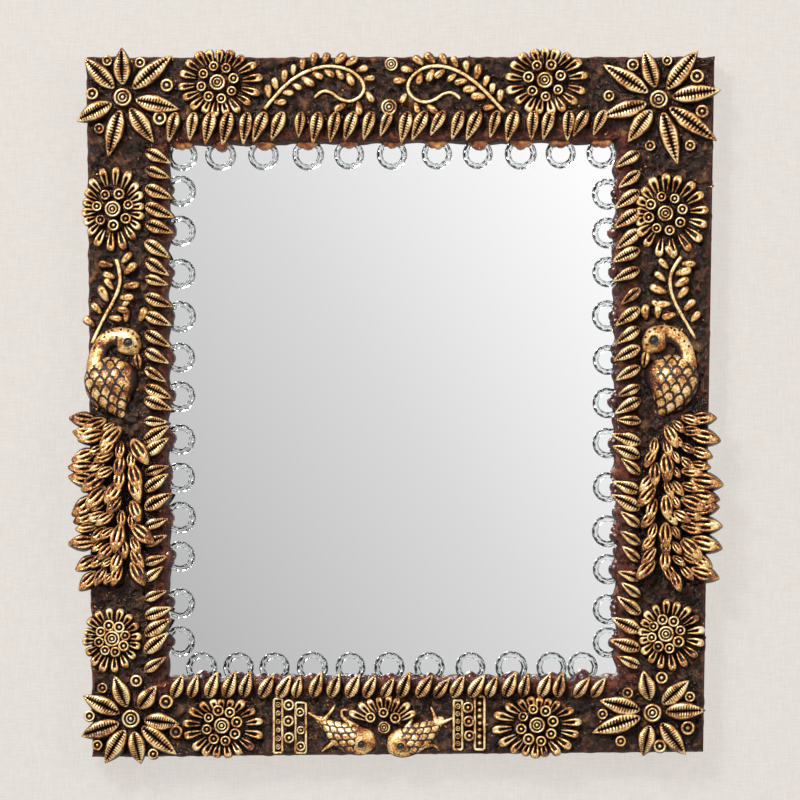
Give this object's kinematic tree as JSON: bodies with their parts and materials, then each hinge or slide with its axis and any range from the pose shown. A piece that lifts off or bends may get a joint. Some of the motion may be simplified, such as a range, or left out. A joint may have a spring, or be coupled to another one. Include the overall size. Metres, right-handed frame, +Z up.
{
  "type": "wall mirror",
  "caption": "Wall mirror in a slightly tapered frame covered with gilded hand-modelled relief of leaves, daisies, stars, peacocks and fish, edged with clear glass rings.",
  "frame": {"origin": "on the wall plane, behind the middle of the sight opening", "axes": "+X right and +Z up seen from the front; the front faces -Y and +Y points into the wall"},
  "size_m": [0.4235, 0.0339, 0.4712],
  "materials": {
    "bar_wood": "dark brown stain over pale wood",
    "ground_coat": "hammered dark brown paste, slightly glossy",
    "gilded_relief": "antique gold rubbed over dark brown paste",
    "amber_paste": "glossy amber",
    "mirror": "silvered glass",
    "ring_glass": "clear faceted glass",
    "panel_board": "plain hardboard",
    "nail_steel": "plain steel",
    "button_brass": "plated",
    "screw_steel": "plain steel",
    "hanger_steel": "nickel plated",
    "bumper_rubber": "matt"
  },
  "bodies": {
    "frame": {"top_rail": "bar_wood", "bottom_rail": "bar_wood", "left_stile": "bar_wood", "right_stile": "bar_wood", "ground_coat_top": "ground_coat", "ground_coat_bottom": "ground_coat", "ground_coat_left": "ground_coat", "ground_coat_right": "ground_coat", "corner_v_nails": "nail_steel", "mirror_glass": "mirror", "backing_panel": "panel_board", "turn_button_screws": "screw_steel", "hanger_strap_left": "hanger_steel", "hanger_strap_right": "hanger_steel", "hanger_screws": "screw_steel", "wall_bumpers": "bumper_rubber", "border_leaves_top": "gilded_relief", "glass_rings_top": "ring_glass", "border_leaves_bottom": "gilded_relief", "glass_rings_bottom": "ring_glass", "border_leaves_left": "gilded_relief", "glass_rings_left": "ring_glass", "border_leaves_right": "gilded_relief", "glass_rings_right": "ring_glass", "edge_lumps": "amber_paste", "corner_star_top_left": "gilded_relief", "corner_star_top_right": "gilded_relief", "corner_star_bottom_left": "gilded_relief", "corner_star_bottom_right": "gilded_relief", "daisy_top_left": "gilded_relief", "daisy_top_right": "gilded_relief", "daisy_left_upper": "gilded_relief", "daisy_right_upper": "gilded_relief", "daisy_left_lower": "gilded_relief", "daisy_right_lower": "gilded_relief", "daisy_bottom_left": "gilded_relief", "daisy_bottom_right": "gilded_relief", "half_daisy": "gilded_relief", "vine_top_left": "gilded_relief", "vine_top_right": "gilded_relief", "vine_left": "gilded_relief", "vine_right": "gilded_relief", "peacock_left": "gilded_relief", "peacock_tail_left": "gilded_relief", "fish_left": "gilded_relief", "bead_panel_left": "gilded_relief", "peacock_right": "gilded_relief", "peacock_tail_right": "gilded_relief", "fish_right": "gilded_relief", "bead_panel_right": "gilded_relief", "top_spiral_beads": "gilded_relief"},
    "turn_button_top": {"turn_button_top": "button_brass"},
    "turn_button_bottom": {"turn_button_bottom": "button_brass"},
    "turn_button_left": {"turn_button_left": "button_brass"},
    "turn_button_right": {"turn_button_right": "button_brass"},
    "hanger_ring_left": {"hanger_ring_left": "hanger_steel"},
    "hanger_ring_right": {"hanger_ring_right": "hanger_steel"}
  },
  "joints": [
    {"name": "turn_button_top_turn", "type": "hinge", "parent": "frame", "child": "turn_button_top", "pos_m": [0, -0.005, 0.194], "axis": [0, 1, 0], "range_deg": [-180, 180]},
    {"name": "turn_button_bottom_turn", "type": "hinge", "parent": "frame", "child": "turn_button_bottom", "pos_m": [0, -0.005, -0.194], "axis": [0, 1, 0], "range_deg": [-180, 180]},
    {"name": "turn_button_left_turn", "type": "hinge", "parent": "frame", "child": "turn_button_left", "pos_m": [-0.16585, -0.005, 0], "axis": [0, 1, 0], "range_deg": [-180, 180]},
    {"name": "turn_button_right_turn", "type": "hinge", "parent": "frame", "child": "turn_button_right", "pos_m": [0.16585, -0.005, 0], "axis": [0, 1, 0], "range_deg": [-180, 180]},
    {"name": "hanger_ring_left_swing", "type": "hinge", "parent": "frame", "child": "hanger_ring_left", "pos_m": [-0.18135, -0.00374, 0.12], "axis": [-1, 0, 0], "range_deg": [0, 170]},
    {"name": "hanger_ring_right_swing", "type": "hinge", "parent": "frame", "child": "hanger_ring_right", "pos_m": [0.18135, -0.00374, 0.12], "axis": [-1, 0, 0], "range_deg": [0, 170]}
  ]
}
